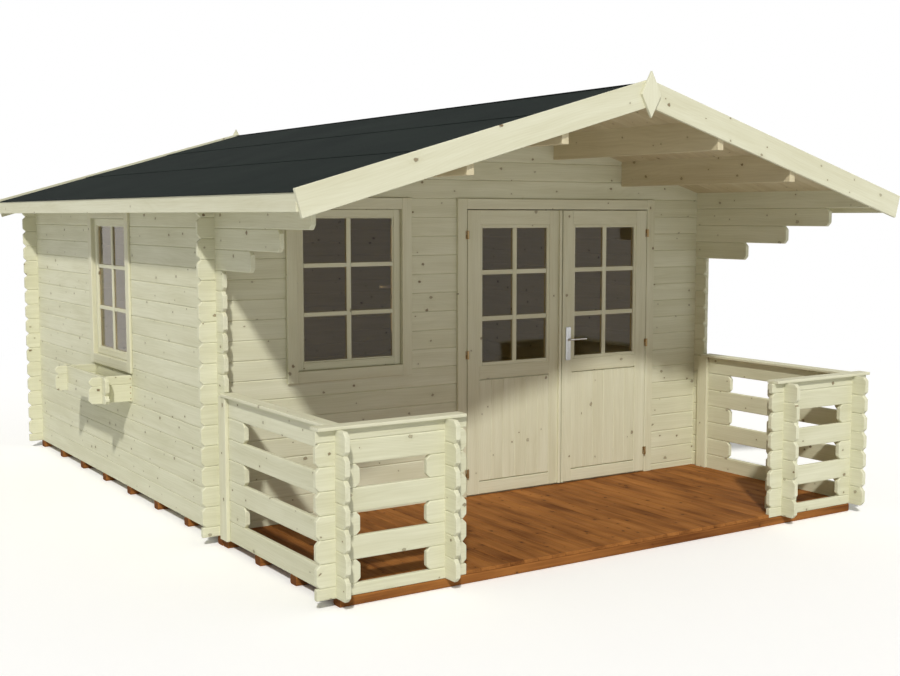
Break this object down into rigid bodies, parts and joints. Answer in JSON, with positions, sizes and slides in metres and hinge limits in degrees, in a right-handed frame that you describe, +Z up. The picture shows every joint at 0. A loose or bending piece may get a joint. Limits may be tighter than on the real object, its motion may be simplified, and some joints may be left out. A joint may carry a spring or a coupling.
{
  "type": "log cabin",
  "caption": "Small log cabin of crossed planed logs with a railed terrace under a shallow felted roof, glazed double door, barred windows and a flower box.",
  "frame": {"origin": "level ground under the outer face of the front wall, at the middle of the cabin's width; the foundation beam under that wall stands on it", "axes": "+Z up; the terrace and the doors face -Y; +X is to the right for a person looking at the front"},
  "size_m": [4.345, 5.627, 2.7069],
  "materials": {
    "log_spruce": "untreated planed spruce logs with small knots",
    "impregnated_wood": "brown pressure-treated softwood",
    "roof_spruce": "untreated planed spruce boards",
    "board_spruce": "untreated planed spruce boards",
    "joinery_spruce": "untreated planed spruce joinery",
    "window_glass": "clear flat glass, dark inside",
    "roof_felt": "dark mineral bitumen felt",
    "hinge_brass": "dull brass-coloured steel",
    "handle_metal": "satin silver metal"
  },
  "bodies": {
    "cabin": {"foundation_beams": "impregnated_wood", "terrace_beams": "impregnated_wood", "house_floor": "roof_spruce", "terrace_floor": "impregnated_wood", "front_wall_left": "log_spruce", "front_wall_right": "log_spruce", "front_gable": "log_spruce", "rear_wall": "log_spruce", "rear_gable": "log_spruce", "left_wall": "log_spruce", "right_wall": "log_spruce", "roof_purlins": "roof_spruce", "roof_boards_left": "roof_spruce", "roof_boards_right": "roof_spruce", "roofing_felt": "roof_felt", "eaves_fascias": "board_spruce", "front_bargeboard_left": "board_spruce", "front_bargeboard_right": "board_spruce", "rear_bargeboard_left": "board_spruce", "rear_bargeboard_right": "board_spruce", "gable_finials": "board_spruce", "door_frame": "joinery_spruce", "frame_hinges": "hinge_brass", "front_window_trim": "joinery_spruce", "front_window_sash": "joinery_spruce", "front_window_glass": "window_glass", "side_window_trim": "joinery_spruce", "side_window_sash": "joinery_spruce", "side_window_glass": "window_glass", "flower_box": "log_spruce", "side_railing_left": "log_spruce", "side_railing_right": "log_spruce", "front_railing_left": "log_spruce", "front_railing_right": "log_spruce", "railing_caps": "board_spruce", "railing_battens": "board_spruce"},
    "left_door": {"left_door": "joinery_spruce", "left_door_glass": "window_glass", "left_door_hinges": "hinge_brass"},
    "right_door": {"right_door": "joinery_spruce", "right_door_glass": "window_glass", "right_door_hinges": "hinge_brass", "door_handle_plate": "handle_metal"},
    "door_lever": {"door_handle_lever": "handle_metal"}
  },
  "joints": [
    {"name": "left_door_hinge", "type": "hinge", "parent": "cabin", "child": "left_door", "pos_m": [-0.1675, -0.027, 1.016], "axis": [0, 0, -1], "range_deg": [0, 110]},
    {"name": "right_door_hinge", "type": "hinge", "parent": "cabin", "child": "right_door", "pos_m": [1.3735, -0.027, 1.016], "axis": [0, 0, 1], "range_deg": [0, 110]},
    {"name": "door_lever_spindle", "type": "hinge", "parent": "right_door", "child": "door_lever", "pos_m": [0.665, -0.026, 1.075], "axis": [0, 1, 0], "range_deg": [0, 40], "stiffness_Nm_per_rad": 1.5, "springref_deg": -17.19}
  ]
}
